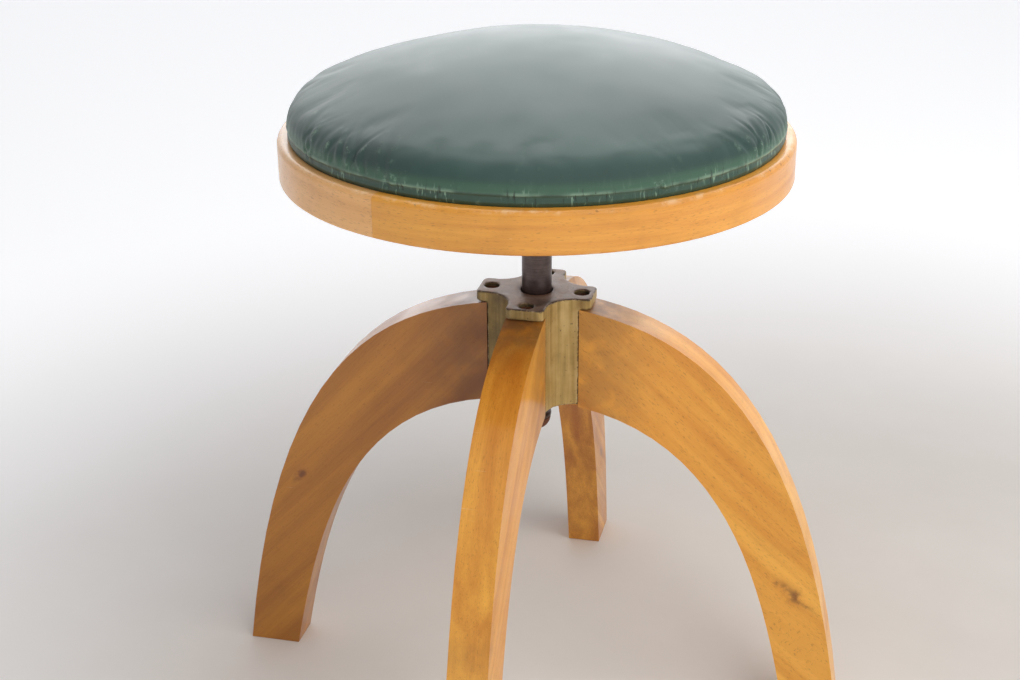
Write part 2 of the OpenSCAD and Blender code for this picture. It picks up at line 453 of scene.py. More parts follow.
def wood_look(shader, grain, light, dark, seed, contrast, dirt_and_shade=None):
    """Lacquered beech. The grain vector runs along X; the last argument is a mask, 0 to 1, of dirt and
    painted shade.
    """
    shift = (seed * 1.7, seed * 2.3, seed * 0.9)

    def stretched(along, across, **look):
        """Noise in streaks along the grain."""
        return shader.noise(shader.mapped(grain, scale=(along, across, across), shift=shift), **look)

    bands = stretched(3.2, 62, detail=3, rough=0.55, bend=0.35)
    slow = stretched(6, 16, detail=1)
    fibre = stretched(34, 900, detail=3, rough=0.6)
    rays = stretched(260, 1500, detail=1, rough=0.4)
    pores = shader.between(rays, 0.62, 0.72)
    tone = shader.math("MULTIPLY_ADD", fibre, 0.28, bands)
    tone = shader.math("MULTIPLY_ADD", slow, 0.45, tone)
    middle = 0.87
    reach = 0.30 / contrast
    colour = shader.mix(shader.between(tone, middle - reach, middle + reach), dark, light)
    colour = shader.tint(colour, pores, 0.34, PORE_BROWN)

    worn = shader.kept("worn")
    pale_edge = shader.times(worn, shader.between(shader.clouds(70, detail=4, rough=0.7), 0.50, 0.66))
    colour = shader.tint(colour, pale_edge, 0.6, RUBBED_EDGE)
    nick = shader.times(worn, shader.between(shader.clouds(230), 0.68, 0.76))
    colour = shader.tint(colour, nick, 0.85, NICK_BROWN)

    smudge = shader.clouds(26, detail=3, rough=0.6)
    colour = shader.mix(shader.between(smudge, 0.52, 0.8, 0.0, 0.16), colour, SMUDGE_BROWN)
    coat = LACQUER
    # Where the mask is set the wood darkens and loses lacquer: dirt, and painted shade under the seat
    if dirt_and_shade is not None:
        colour = shader.mix(dirt_and_shade, colour, WOOD_DIRT_AND_SHADE)
        coat = shader.math("MULTIPLY_ADD", dirt_and_shade, -LACQUER_LOST_TO_DIRT, LACQUER)

    scratch_lines = shader.mapped(shader.place, turn=(0.5, 0.9, 0.3), scale=(30, 1400, 1400))
    scratch_lines = shader.between(shader.noise(scratch_lines, detail=1), 0.76, 0.80)
    scratch_here = shader.between(shader.clouds(16, detail=1), 0.56, 0.70)
    colour = shader.tint(colour, shader.times(scratch_lines, scratch_here), 0.45, PALE_SCRATCH)

    height = shader.math("MULTIPLY_ADD", fibre, 0.5, shader.times(pores, -0.6))
    ripple = shader.clouds(22, detail=1)
    relief = shader.bump(ripple, RIPPLE, 0.35, shader.bump(height, 0.03 * MM))
    shader.set(
        base_color=colour,
        roughness=shader.between(smudge, 0.3, 0.75, 0.34, 0.5),
        specular_ior_level=0.45,
        coat_weight=coat,
        coat_roughness=0.16,
        coat_normal=shader.bump(ripple, RIPPLE, 0.5),
        normal=relief,
    )
    return shader.material


def around_the_ring(shader, middle):
    """A grain vector that runs round the ring. middle is the angle opposite its seam."""
    x, y, z = shader.split(shader.mapped(shader.place, turn=(0, 0, -middle)))
    angle = shader.math("ARCTAN2", y, x)
    return shader.join(shader.times(angle, RING_R), shader.distance(x, y), z)


def ring_material(name, middle, light, dark, seed):
    """Beech bent round the ring."""
    shader = Shader(name)
    return wood_look(shader, around_the_ring(shader, middle), light, dark, seed, contrast=0.75)


def leg_material(name, heading, lean, light, dark, seed, contrast, knots):
    """Beech board whose grain leans down along the leg and bends round its knots."""
    shader = Shader(name)
    upright = shader.mapped(shader.place, turn=(0, 0, -heading))
    along, across, rise = shader.split(shader.mapped(upright, turn=(0, -lean, 0)))
    wobble = shader.clouds(110, detail=3, rough=0.6)
    spots = []
    for out, up, size, darkness in knots:
        knot_along = out * math.cos(lean) - up * math.sin(lean)
        knot_rise = out * math.sin(lean) + up * math.cos(lean)
        uneven = shader.times(shader.plus(wobble, -0.5), 1.6 * size)
        off_along = shader.plus(shader.times(shader.plus(along, -knot_along), 0.5), uneven)
        off_rise = shader.plus(shader.plus(rise, -knot_rise), uneven)
        square = shader.plus(shader.times(off_along, off_along), shader.times(off_rise, off_rise))
        near = shader.math("EXPONENT", shader.times(square, -1 / size**2))
        rise = shader.plus(rise, shader.times(shader.times(near, off_rise), -0.85))
        thin = shader.times(off_rise, 1 / (1.6 * MM))
        crack = shader.math("EXPONENT", shader.times(shader.times(thin, thin), -1.0))
        from_knot = shader.math("ABSOLUTE", shader.plus(along, -knot_along - size))
        crack = shader.times(crack, shader.between(from_knot, 2.2 * size, 0.4 * size))
        spots.append((near, darkness, shader.times(crack, darkness)))

    out, _, _ = shader.split(upright)
    _, _, facing_up = shader.split(shader.facing)
    # Dirt and painted shade: darker near the hub and on upward faces, where the seat shades the legs
    dirt_and_shade = shader.between(out, 105 * MM, 42 * MM)
    dirt_and_shade = shader.times(dirt_and_shade, shader.between(facing_up, 0.2, 0.8, 0.6, 1.0))
    patches = shader.clouds(60, detail=3)
    dirt_and_shade = shader.times(dirt_and_shade, shader.between(patches, 0.25, 0.6, 0.25, 0.75))
    material = wood_look(shader, shader.join(along, across, rise), light, dark, seed, contrast, dirt_and_shade)
    colour = shader.surface.inputs["Base Color"].links[0].from_socket
    for near, darkness, crack in spots:
        grainy = shader.times(near, shader.between(patches, 0.2, 0.7, 0.7, 1.1))
        colour = shader.mix(shader.between(grainy, 0.2, 0.95, 0.0, 0.5 * darkness), colour, KNOT_HALO)
        colour = shader.mix(shader.between(grainy, 0.62, 1.0, 0.0, 0.85 * darkness), colour, KNOT_CORE)
        colour = shader.tint(colour, crack, 0.45, KNOT_CRACK)
    shader.set(base_color=colour)
    return material


# ------------------------ ring


def ring_half(name, start, material, node):
    """Half of the ring, bent from one board: rounded edges, a slightly uneven surface and dents."""
    outline = rounded(
        [
            (RING_IN, LEDGE_TOP, 0.3 * MM),
            (RING_IN, RING_TOP, 1.3 * MM),
            (RING_R, RING_TOP, 4 * MM),
            (RING_R, RING_LOW, 1.4 * MM),
            (LEDGE_IN, RING_LOW, 1.0 * MM),
            (LEDGE_IN, LEDGE_TOP, 0.8 * MM),
        ],
        steps=6,
    )
    joint_turn = JOINT_GAP / 2 / RING_IN
    mesh = revolve(name, even(outline, 2.2 * MM), 360, start + joint_turn, math.pi - 2 * joint_turn)
    points = read_points(mesh)
    moved = np.array(points)
    x, y, z = points.T
    radius = np.hypot(x, y)
    outward = np.c_[x / radius, y / radius, 0 * z]
    outer = np.clip((radius - RING_IN - 4 * MM) / (4 * MM), 0, 1)
    uneven = noise_at(points, 28) * 0.22 * MM + noise_at(points, 85, 3.1) * 0.07 * MM
    moved += outward * ((uneven - 0.2 * MM) * outer)[:, None]

    dents = random.Random(7 + int(start * 10))
    for _ in range(26):
        angle = start + dents.random() * math.pi
        high = dents.random() < 0.6
        height = RING_TOP - 1.2 * MM if high else RING_LOW + dents.random() * (RING_TOP - RING_LOW)
        centre = np.array([math.cos(angle) * RING_R, math.sin(angle) * RING_R, height])
        size = dents.uniform(0.9, 2.2) * MM
        depth = dents.uniform(0.15, 0.5) * MM
        moved -= outward * (bell(np.linalg.norm(points - centre, axis=1), size) * depth)[:, None]
    write_points(mesh, moved)
    top_edge = bell(RING_TOP - z, 1.6 * MM) * outer
    low_edge = bell(z - RING_LOW, 0.9 * MM) * outer
    store(mesh, "worn", np.clip(top_edge + low_edge, 0, 1))
    shade(mesh, math.radians(45))
    finish_piece(make_object(name, mesh), "seat", material, [node])


pale_ring = ring_material("ring_pale_beech", RING_JOINT + math.pi / 2, PALE_LIGHT, PALE_DARK, 3.0)
honey_ring = ring_material("ring_honey_beech", RING_JOINT - math.pi / 2, HONEY_LIGHT, HONEY_DARK, 5.0)
ring_half("ring_left_board", RING_JOINT, pale_ring, "ring_half_left")
ring_half("ring_right_board", RING_JOINT + math.pi, honey_ring, "ring_half_right")


# ------------------------ legs

GOLDEN_LIGHT = linear(252, 188, 80)
GOLDEN_DARK = linear(220, 144, 46)
BACK_DARK = linear(176, 104, 30)
# The left leg's colours are a duller board, darkened further as painted shade for the leg away from the key
# light
SHADED_DULL_LIGHT = linear(200, 134, 42)
SHADED_DULL_DARK = linear(156, 93, 24)

# For each leg: its heading, its grain's lean in degrees, its two colours, its seed and its contrast
LEGS = {
    "leg_right": (0.0, 42, GOLDEN_LIGHT, GOLDEN_DARK, 11.0, 0.8),
    "leg_front": (-math.pi / 2, 45, HONEY_LIGHT, HONEY_DARK, 23.0, 0.8),
    "leg_back": (math.pi / 2, 45, HONEY_LIGHT, BACK_DARK, 31.0, 0.9),
    "leg_left": (math.pi, 47, SHADED_DULL_LIGHT, SHADED_DULL_DARK, 47.0, 0.75),
}

# For each knot: its distance from the axis, its height, its size and its darkness, 0 to 1
KNOTS = {
    "leg_right": [(0.1985, 0.1015, 0.009, 0.65), (0.206, 0.060, 0.016, 0.0)],
    "leg_front": [(0.206, 0.148, 0.013, 0.15)],
    "leg_back": [(0.200, 0.092, 0.006, 0.6)],
    "leg_left": [(0.185, 0.1595, 0.005, 0.8)],
}

for node, (heading, lean, light, dark, seed, contrast) in LEGS.items():
    material = leg_material(
        node + "_beech", heading, math.radians(lean), light, dark, seed, contrast, KNOTS[node]
    )
    finish_piece(eased_node(node + "_board", node, 1.5 * MM), "stand", material, [node])


# ------------------------ hub

LEG_SCREW_AT = 33.5 * MM
SCREW_HOLE_R = 6.2 * MM
BORE_GAP = 1.7 * MM
PAINTED_SHADE_OLIVE = linear(64, 50, 36)
DARK_CHIP = linear(42, 36, 32)
PALE_CHIP = linear(206, 198, 176)
IRON_RUST = linear(92, 50, 30)
HOLE_PAINTED_SHADE = linear(38, 32, 29)
DARK_SPECK = linear(50, 44, 36)


def hub_material():
    """Gold paint on cast iron: streaked walls, chipped edges, a bare worn top and painted shade away from the
    key light.
    """
    shader = Shader("gilt_cast_iron")
    face_x, face_y, face_up = shader.split(shader.facing)
    _, _, height = shader.split(shader.place)
    streaks = shader.noise(shader.mapped(shader.place, scale=(330, 330, 12)))
    clouds = shader.clouds(70, detail=4, rough=0.6)
    paint = shader.ramp(
        shader.math("MULTIPLY_ADD", streaks, 0.6, shader.times(clouds, 0.4)),
        [(0.28, linear(140, 114, 62)), (0.50, linear(180, 152, 92)), (0.74, linear(212, 186, 130))],
    )
    bare = shader.ramp(
        clouds, [(0.30, linear(104, 90, 82)), (0.52, linear(144, 126, 116)), (0.72, linear(180, 162, 148))]
    )
    # Painted shade: walls that face -X and -Y, away from the key light, are darkened unevenly towards olive
    unlit_side = shader.between(shader.plus(face_x, face_y), -0.7, -1.3)
    painted_shade = shader.times(unlit_side, shader.between(clouds, 0.2, 0.7, 0.75, 0.5))
    near_top = shader.between(height, HUB_TOP - 3 * MM, HUB_TOP - 0.6 * MM)
    topside = shader.times(near_top, shader.between(face_up, 0.35, 0.8))
    colour = shader.mix(topside, shader.mix(painted_shade, paint, PAINTED_SHADE_OLIVE), bare)

    edge = shader.kept("edge")
    chip_noise = shader.clouds(380, detail=3, rough=0.65)
    chips = shader.times(edge, shader.between(chip_noise, 0.47, 0.55))
    colour = shader.tint(colour, chips, 0.9, DARK_CHIP)
    pale_chips = shader.times(edge, shader.between(chip_noise, 0.45, 0.38))
    colour = shader.tint(colour, pale_chips, 0.6, PALE_CHIP)
    rust = shader.times(shader.kept("rust"), shader.between(clouds, 0.35, 0.6))
    colour = shader.mix(rust, colour, IRON_RUST)
    # Painted shade: the insides of the screw holes and the bore are painted near black
    colour = shader.tint(colour, shader.kept("hollow"), 0.8, HOLE_PAINTED_SHADE)
    specks = shader.between(shader.clouds(520, detail=1), 0.70, 0.76)
    colour = shader.tint(colour, specks, 0.5, DARK_SPECK)

    grit = shader.clouds(900, rough=0.6)
    painted = shader.math("SUBTRACT", 1.0, shader.math("MAXIMUM", chips, rust))
    shader.set(
        base_color=colour,
        metallic=shader.times(painted, shader.between(topside, 0.0, 1.0, 0.45, 0.35)),
        roughness=shader.between(clouds, 0.3, 0.7, 0.42, 0.56),
        normal=shader.bump(clouds, 0.6 * MM, 0.5, shader.bump(grit, 0.05 * MM)),
    )
    return shader.material


def cast_hub():
    """The hub as a casting: the CAD shape with soft edges, chips and a slightly uneven skin."""
    rough = make_object("hub_rough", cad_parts["hub"].data.copy())
    voxel_remesh(rough, 0.8 * MM)
    soften = rough.modifiers.new("soften", "SMOOTH")
    soften.factor = 0.5
    soften.iterations = 5
    mesh = evaluated_copy(rough)
    bpy.data.objects.remove(rough)
    points = read_points(mesh)
    edge = np.clip((bulging(mesh) - 0.05) / 0.10, 0, 1)
    chips = np.clip(noise_at(points, 260) - 0.15, 0, 1) * edge * 0.9 * MM
    skin = noise_at(points, 160, 5.0) * 0.06 * MM + noise_at(points, 45, 9.0) * 0.16 * MM
    write_points(mesh, points + read_points(mesh, "normal") * (skin - chips)[:, None])
    store(mesh, "edge", edge)

    x, y, _ = np.abs(points.T)
    from_axis = np.hypot(x, y)
    store(mesh, "rust", bell(from_axis - SPINDLE_R, 4.5 * MM))
    # A mask for painted shade inside the screw holes and the bore
    from_hole = np.hypot(np.minimum(x, y), np.maximum(x, y) - LEG_SCREW_AT) - SCREW_HOLE_R
    from_bore = from_axis - SPINDLE_R - BORE_GAP
    in_hole = np.clip(-np.minimum(from_hole, from_bore) / (0.4 * MM), 0, 1)
    sunk = np.clip((HUB_TOP - 0.4 * MM - points[:, 2]) / (0.6 * MM), 0, 1)
    store(mesh, "hollow", sunk * in_hole)
    shade(mesh, math.radians(80))
    return make_object("hub_casting", mesh)


finish_piece(cast_hub(), "stand", hub_material(), ["hub"])


# ------------------------ spindle and hardware

RUST_DARK = linear(70, 34, 20)
RUST_LIGHT = linear(132, 78, 48)


def metal_material(name, dark, light, metallic, roughness, rust_share, lines=False):
    """Plain or rusty steel. rust_share is how much of the surface is rusty; lines are those of turning."""
    shader = Shader(name)
    tone = shader.clouds(120, detail=4, rough=0.6)
    grit = shader.clouds(1400)
    turned = shader.noise(shader.mapped(shader.place, scale=(20, 20, 2600)))
    if lines:
        tone = shader.math("MULTIPLY_ADD", turned, 0.5, shader.times(tone, 0.5))
    colour = shader.ramp(tone, [(0.3, dark), (0.7, light)])
    threshold = 0.78 - 0.5 * rust_share
    rust = shader.between(shader.clouds(180, detail=4, rough=0.65), threshold, threshold + 0.12)
    rusty = shader.ramp(grit, [(0.3, RUST_DARK), (0.7, RUST_LIGHT)])
    relief = shader.bump(shader.plus(grit, rust), 0.04 * MM)
    if lines:
        relief = shader.bump(turned, 0.02 * MM, 1.0, relief)
    shader.set(
        base_color=shader.tint(colour, rust, 0.85, rusty),
        metallic=shader.math("MULTIPLY_ADD", rust, -0.8 * metallic, metallic),
        roughness=shader.math("MULTIPLY_ADD", rust, 0.4, roughness),
        normal=relief,
    )
    return shader.material


dark_steel = metal_material(
    "oiled_steel", linear(58, 46, 44), linear(106, 92, 88), 0.75, 0.36, 0.25, lines=True
)
rusty_steel = metal_material("rusty_steel", linear(70, 52, 42), linear(104, 84, 70), 0.5, 0.5, 0.85)
bright_steel = metal_material("dull_steel", linear(112, 108, 104), linear(150, 147, 142), 0.9, 0.38, 0.15)
black_iron = metal_material("black_iron", linear(34, 32, 31), linear(58, 55, 53), 0.4, 0.55, 0.2)

THREAD_PITCH = 6 * MM
THREAD_DEEP = 1.6 * MM
THREAD_END = HUB_TOP - 14 * MM
THREAD_ROWS = 20
SHANK_ROW = 6 * MM
END_EASE = 1.2 * MM


def thread_depth(turns):
    """How deep a trapezoid thread is cut at a place along its pitch, as a share of its depth."""
    root = 0.36
    flank = 0.14
    return float(np.interp(turns % 1.0, (0, root, root + flank, 1 - flank, 1), (1, 1, 0, 0, 1)))


def threaded_spindle():
    """Smooth shank above, right-hand screw thread below, with eased ends."""
    low = spindle_low_corner.z
    high = spindle_high_corner.z
    around = 96
    rows = []
    height = low
    while height < THREAD_END + THREAD_PITCH:
        rows.append(height)
        height += THREAD_PITCH / THREAD_ROWS
    while height < high:
        rows.append(height)
        height += SHANK_ROW
    rows.append(high)
    bm = bmesh.new()
    stations = []
    for height in rows:
        fade = min(1.0, max(0.0, (THREAD_END - height) / THREAD_PITCH + 1.0))
        ease = max(0.0, 1.0 - (height - low) / END_EASE) + max(0.0, 1.0 - (high - height) / END_EASE)
        station = []
        for i in range(around):
            cut = thread_depth(height / THREAD_PITCH - i / around) * THREAD_DEEP * fade
            radius = SPINDLE_R - 0.02 * MM - cut - 0.8 * MM * ease
            angle = TURN * i / around
            station.append(bm.verts.new((radius * math.cos(angle), radius * math.sin(angle), height)))
        stations.append(station)
    bridge(bm, stations)
    bm.faces.new(stations[0])
    bm.faces.new(stations[-1])
    mesh = as_mesh(bm, "spindle_screw")
    shade(mesh, math.radians(50))
    return make_object("spindle_screw", mesh)


finish_piece(threaded_spindle(), "seat", dark_steel, ["spindle"])


def round_plug():
    """The spindle's rounded end, pitted with rust, on a stem inside the spindle."""
    low = plug_low_corner.z
    radius = plug_high_corner.x
    dome_top = low + 10.4 * MM
    stem_r = 3.9 * MM
    section = [Vector((0.0, low + 0.15 * MM))]
    for k in range(1, 17):
        angle = k / 16 * math.pi / 2
        section.append(Vector((radius * math.sin(angle), dome_top - (dome_top - low) * math.cos(angle))))
    section.append(Vector((radius - 0.3 * MM, dome_top + 0.1 * MM)))
    section.append(Vector((stem_r, dome_top + 0.1 * MM)))
    section.append(Vector((stem_r, plug_high_corner.z)))
    section.append(Vector((0.0, plug_high_corner.z)))
    mesh = revolve("spindle_end_plug", section, 72)
    points = read_points(mesh)
    pits = noise_at(points, 420) * 0.18 * MM + noise_at(points, 170, 4.0) * 0.3 * MM
    outer = np.clip((dome_top - points[:, 2]) / (2 * MM), 0, 1)
    write_points(mesh, points - read_points(mesh, "normal") * (np.abs(pits) * outer)[:, None])
    shade(mesh, math.radians(40))
    return make_object("spindle_end_plug", mesh)


finish_piece(round_plug(), "lift", rusty_steel, ["spindle_plug"])
flange = eased_node("flange_casting", "seat_flange", 0.9 * MM)
finish_piece(flange, "seat", black_iron, ["seat_flange"])

for node, material in {
    "leg_screws": rusty_steel,
    "flange_pin": bright_steel,
    "flange_screws": bright_steel,
    "ring_screws": bright_steel,
    "pad_screws": bright_steel,
    "cover_tacks": dark_steel,
}.items():
    ease_in_place(node, 0.25 * MM, math.radians(35), material)


def plywood_material():
    """Birch plywood: flame figure on the faces, thin plies on the edge."""
    shader = Shader("bare_plywood")
    _, _, height = shader.split(shader.place)
    _, _, up = shader.split(shader.facing)
    figure = shader.noise(shader.mapped(shader.place, scale=(7, 70, 30)), detail=4, rough=0.6, bend=0.8)
    fibre = shader.noise(shader.mapped(shader.place, scale=(40, 900, 900)))
    plies = shader.between(shader.math("SINE", shader.times(height, 2600.0)), -0.4, 0.4)
    face = shader.ramp(
        shader.math("MULTIPLY_ADD", fibre, 0.3, shader.times(figure, 0.7)),
        [(0.32, linear(156, 118, 78)), (0.66, linear(196, 160, 114))],
    )
    edge = shader.mix(plies, linear(120, 86, 56), linear(188, 150, 106))
    flat = shader.between(shader.math("ABSOLUTE", up), 0.5, 0.8)
    stain = shader.between(shader.clouds(14, detail=4, rough=0.65), 0.5, 0.8, 0.0, 0.5)
    shader.set(
        base_color=shader.mix(stain, shader.mix(flat, edge, face), linear(92, 66, 44)),
        roughness=shader.between(fibre, 0.3, 0.7, 0.62, 0.78),
        normal=shader.bump(fibre, 0.06 * MM),
    )
    return shader.material


plywood = plywood_material()
for node in ("seat_board", "pad_board"):
    ease_in_place(node, 0.5 * MM, math.radians(60), plywood)


# ------------------------ cushion

# The pad's CAD outline: a round shoulder that bulges over the ring, then a shallow dome
SHOULDER_R = 20.5 * MM
SHOULDER_Z = RING_TOP + 8 * MM
SHOULDER_AT = BULGE_R - SHOULDER_R
RISE = CROWN_Z - SHOULDER_Z
DOME_R = (SHOULDER_AT**2 + RISE**2 - SHOULDER_R**2) / (2 * (RISE - SHOULDER_R))
DOME_ANGLE = math.asin(SHOULDER_AT / (DOME_R - SHOULDER_R))

# The leather's own details: points all the way round, the crease, and how far lip and band stand out
COLUMNS = 720
CREASE_Z = RING_TOP + 7.6 * MM
LIP_R = BULGE_R + 1.0 * MM
TUCKED_R = BULGE_R + 0.2 * MM

# The simulated pad: it starts smaller than the outline and moves no further than the cap. The leather takes a
# share of its unevenness
START_INSET = 5 * MM
CLOTH_VOXEL = 5 * MM
CLOTH_CAP = 9 * MM
CLOTH_FRAMES = 20
SWELL_SHARE = 0.35


def smooth_section(inset=0.0):
    """(r, z, length) along the CAD outline from above the ring to the crown, its curvature evened out."""
    count = 600
    shoulder = (SHOULDER_R - inset) * (math.pi / 2 - DOME_ANGLE)
    dome = (DOME_R - inset) * DOME_ANGLE
    length = np.linspace(0, shoulder + dome, count)
    step = length[1]
    heading = np.where(
        length < shoulder,
        length / (SHOULDER_R - inset),
        math.pi / 2 - DOME_ANGLE + (length - shoulder) / (DOME_R - inset),
    )
    reach = int(24 * MM / step)
    before = -heading[reach:0:-1]
    after = math.pi - heading[-2 : -reach - 2 : -1]
    weights = bell((np.arange(2 * reach + 1) - reach) * step, 9 * MM)
    heading = np.convolve(np.concatenate([before, heading, after]), weights / weights.sum(), "valid")
    r = np.concatenate([[0.0], np.cumsum(-np.sin(heading[:-1]) * step)])
    z = np.concatenate([[0.0], np.cumsum(np.cos(heading[:-1]) * step)])
    r = (r / r[-1] * -1 + 1) * (BULGE_R - inset)
    z = SHOULDER_Z + z / z[-1] * (CROWN_Z - inset - SHOULDER_Z)
    return r, z, length


def pad_outline():
    """Rows of (r, z, outward r, outward z) from inside the ring, up the band and over the dome."""
    # Radii, and heights over the ring's top in millimetres
    band = [
        (PAD_R, -2.0),
        (PAD_R, -0.7),
        (RING_IN - 0.2 * MM, -0.1),
        (RING_IN + 1.0 * MM, 0.25),
        (TUCKED_R - 0.4 * MM, 0.9),
        (TUCKED_R + 0.3 * MM, 2.0),
        (TUCKED_R + 0.3 * MM, 3.2),
        (TUCKED_R + 0.1 * MM, 4.4),
        (TUCKED_R, 5.4),
        (TUCKED_R + 0.1 * MM, 6.2),
        (LIP_R - 0.5 * MM, 7.0),
        (LIP_R, 7.6),
    ]
    outline = [(r, RING_TOP + height * MM) for r, height in band]
    crease_row = len(outline) - 1
    r, z, length = smooth_section()
    r = r + (LIP_R - BULGE_R) * bell(length, 30 * MM)
    fine_part = 44 * MM
    near = np.linspace(0.8 * MM, fine_part, 46)
    far = fine_part + (length[-1] - fine_part) * np.linspace(0, 1, 46)[1:-1] ** 0.95
    for place in np.concatenate([near, far]):
        outline.append((float(np.interp(place, length, r)), float(np.interp(place, length, z))))
    outline = np.array(outline)

    # Directions come from an outline without the steps of the band
    straight = np.array(outline)
    straight[:, 0] = np.maximum(straight[:, 0], LIP_R * (straight[:, 1] < CREASE_Z))
    ahead = np.gradient(straight, axis=0)
    normals = np.c_[ahead[:, 1], -ahead[:, 0]]
    normals /= np.linalg.norm(normals, axis=1)[:, None]
    return np.c_[outline, normals], crease_row


def swollen_pad():
    """Cloth simulation: a pad that starts small, is held inside the ring and is blown up by pressure."""
    r, z, _ = smooth_section(START_INSET)
    section = [Vector((0.0, PAD_LOW)), Vector((PAD_R, PAD_LOW)), Vector((PAD_R, RING_TOP))]
    section += [Vector((float(a), float(b))) for a, b in zip(r[::12], z[::12])]
    section.append(Vector((0.0, CROWN_Z - START_INSET)))
    pad = make_object("pad_cloth", revolve("pad_cloth", even(section, 6 * MM), 120))
    voxel_remesh(pad, CLOTH_VOXEL)
    mesh = evaluated_copy(pad)
    pad.modifiers.clear()
    pad.data = mesh
    rest = read_points(mesh)
    held = pad.vertex_groups.new(name="held")
    held.add([int(i) for i in np.nonzero(rest[:, 2] < RING_TOP + 2 * MM)[0]], 1.0, "REPLACE")
    cloth = pad.modifiers.new("cloth", "CLOTH").settings
    cloth.quality = 6
    cloth.mass = 0.25
    cloth.tension_stiffness = 18
    cloth.compression_stiffness = 18
    cloth.shear_stiffness = 6
    cloth.bending_stiffness = 0.6
    cloth.shrink_min = -0.015
    cloth.use_pressure = True
    cloth.uniform_pressure_force = 4
    cloth.vertex_group_mass = "held"
    cloth.effector_weights.gravity = 0
    for step in range(CLOTH_FRAMES):
        scene.frame_set(step + 1)
    graph = bpy.context.evaluated_depsgraph_get()
    moved = read_points(pad.evaluated_get(graph).to_mesh()) - rest
    length = np.linalg.norm(moved, axis=1)
    moved *= (np.minimum(length, CLOTH_CAP) / np.maximum(length, 1e-9))[:, None]
    pad.modifiers.clear()
    scene.frame_set(1)
    write_points(mesh, rest + moved)
    finer = pad.modifiers.new("finer", "SUBSURF")
    finer.levels = 2
    finer.render_levels = 2
    fine = evaluated_copy(pad)
    bpy.data.objects.remove(pad)
    return fine


def pad_relief(rows, points, angles):
    """How far the blown-up pad stands off the smooth outline, with the average taken out of each row."""
    relief = np.zeros((len(rows), len(angles)))
    fine = swollen_pad()
    fine.calc_loop_triangles()
    tree = BVHTree.FromPolygons(
        [v.co.copy() for v in fine.vertices], [tuple(t.vertices) for t in fine.loop_triangles]
    )
    depth = 18 * MM
    step = 4
    for i, (_, _, normal_r, normal_z) in enumerate(rows):
        for j in range(0, len(angles), step):
            outward = Vector((normal_r * math.cos(angles[j]), normal_r * math.sin(angles[j]), normal_z))
            origin = Vector(points[i, j]) - outward * depth
            hit, _, _, distance = tree.ray_cast(origin, outward, 2 * depth)
            relief[i, j] = distance - depth if hit is not None else 0.0
    known = relief[:, ::step]
    for offset in range(1, step):
        share = offset / step
        relief[:, offset::step] = known * (1 - share) + np.roll(known, -1, axis=1) * share
    return relief - relief.mean(axis=1)[:, None]


def round_from(angles, at):
    """Distance round the pad's edge from an angle to each of the angles."""
    return ((angles[None, :] - at + math.pi) % TURN - math.pi) * PAD_R


def fold(angles, along, at, width, long, depth, slant=0.0):
    """A radial valley with soft ridges beside it, deepest near the rim and gone after its length."""
    off = round_from(angles, at) - slant * along[:, None]
    spread = width * (1 + along[:, None] / (1.6 * long))
    valley = bell(off, spread)
    ridges = bell(np.abs(off) - 1.9 * spread, spread)
    share = np.clip(along / long, 0, 1)
    rise = np.clip(along / (0.25 * long), 0, 1)
    envelope = (rise * rise * (3 - 2 * rise)) * (1 - share) ** 1.3
    return depth * envelope[:, None] * (0.45 * ridges - valley)


# Groups of gathers at the sides: middle and half width in degrees, how many, and how deep
GATHERS = [
    (-125, 13, 16, 1.3),
    (-150, 12, 8, 0.5),
    (-109, 3, 2, 0.7),
    (-16, 9, 11, 1.15),
    (6, 10, 6, 0.6),
    (80, 70, 12, 0.4),
    (-60, 25, 3, 0.25),
]
SMALL_FOLDS = 90
NICKS = 46
PINCHES = (-52, -110, -137)


def gathers(angles, along, draws):
    """Deep gathers in groups, and faint folds all round."""
    ridge = np.zeros((len(along), len(angles)))
    for middle, half_width, count, depth in GATHERS:
        for _ in range(count):
            at = math.radians(middle + half_width * draws.uniform(-1, 1))
            width = draws.uniform(1.0, 2.4) * MM
            long = draws.uniform(14, 46) * MM
            deep = depth * draws.uniform(0.3, 1.1) * MM
            ridge += fold(angles, along, at, width, long, deep, draws.uniform(-0.7, 0.7))
    for k in range(SMALL_FOLDS):
        at = TURN * (k + draws.random()) / SMALL_FOLDS
        width = draws.uniform(1.0, 2.2) * MM
        ridge += fold(angles, along, at, width, draws.uniform(6, 16) * MM, draws.uniform(0.03, 0.22) * MM)
    return ridge


def nicks_and_pinches(angles, along, draws):
    """Short upright nicks in the band between the ring and the crease, and three deeper tucks."""
    nicks = np.zeros((len(along), len(angles)))
    band = bell(along + 3.0 * MM, 4.0 * MM)[:, None]
    for k in range(NICKS):
        off = round_from(angles, TURN * (k + draws.random()) / NICKS)
        width = draws.uniform(0.8, 1.6) * MM
        nicks += draws.uniform(-0.5, 0.35) * MM * bell(off, width) * band
    near = bell(along - 1 * MM, 4 * MM)[:, None]
    for degrees in PINCHES:
        off = round_from(angles, math.radians(degrees))
        tuck = bell(off + 0.6 * along[:, None], 1.6 * MM)
        puckered = bell(off - 5 * MM, 3.5 * MM)
        nicks += near * (0.9 * puckered - 1.5 * tuck) * MM
    return nicks


def closed_pad(points, below):
    """A closed mesh from rows of leather points, and bottom rows of (share of the pad's radius, height)."""
    bm = bmesh.new()
    stations = []
    for share, height in below:
        edge = points[0] / np.hypot(points[0, :, 0], points[0, :, 1])[:, None] * PAD_R * share
        stations.append([bm.verts.new((x, y, height)) for x, y, _ in edge])
    for row in points:
        stations.append([bm.verts.new(p) for p in row])
    bridge(bm, stations)
    crown = float(points[-1, :, 2].mean()) + 0.02 * MM
    for station, height in ((stations[0], PAD_LOW), (stations[-1], crown)):
        centre = bm.verts.new((0, 0, height))
        for i in range(COLUMNS):
            bm.faces.new((station[i], station[(i + 1) % COLUMNS], centre))
    mesh = as_mesh(bm, "cushion_leather")
    shade(mesh, math.radians(60))
    return mesh


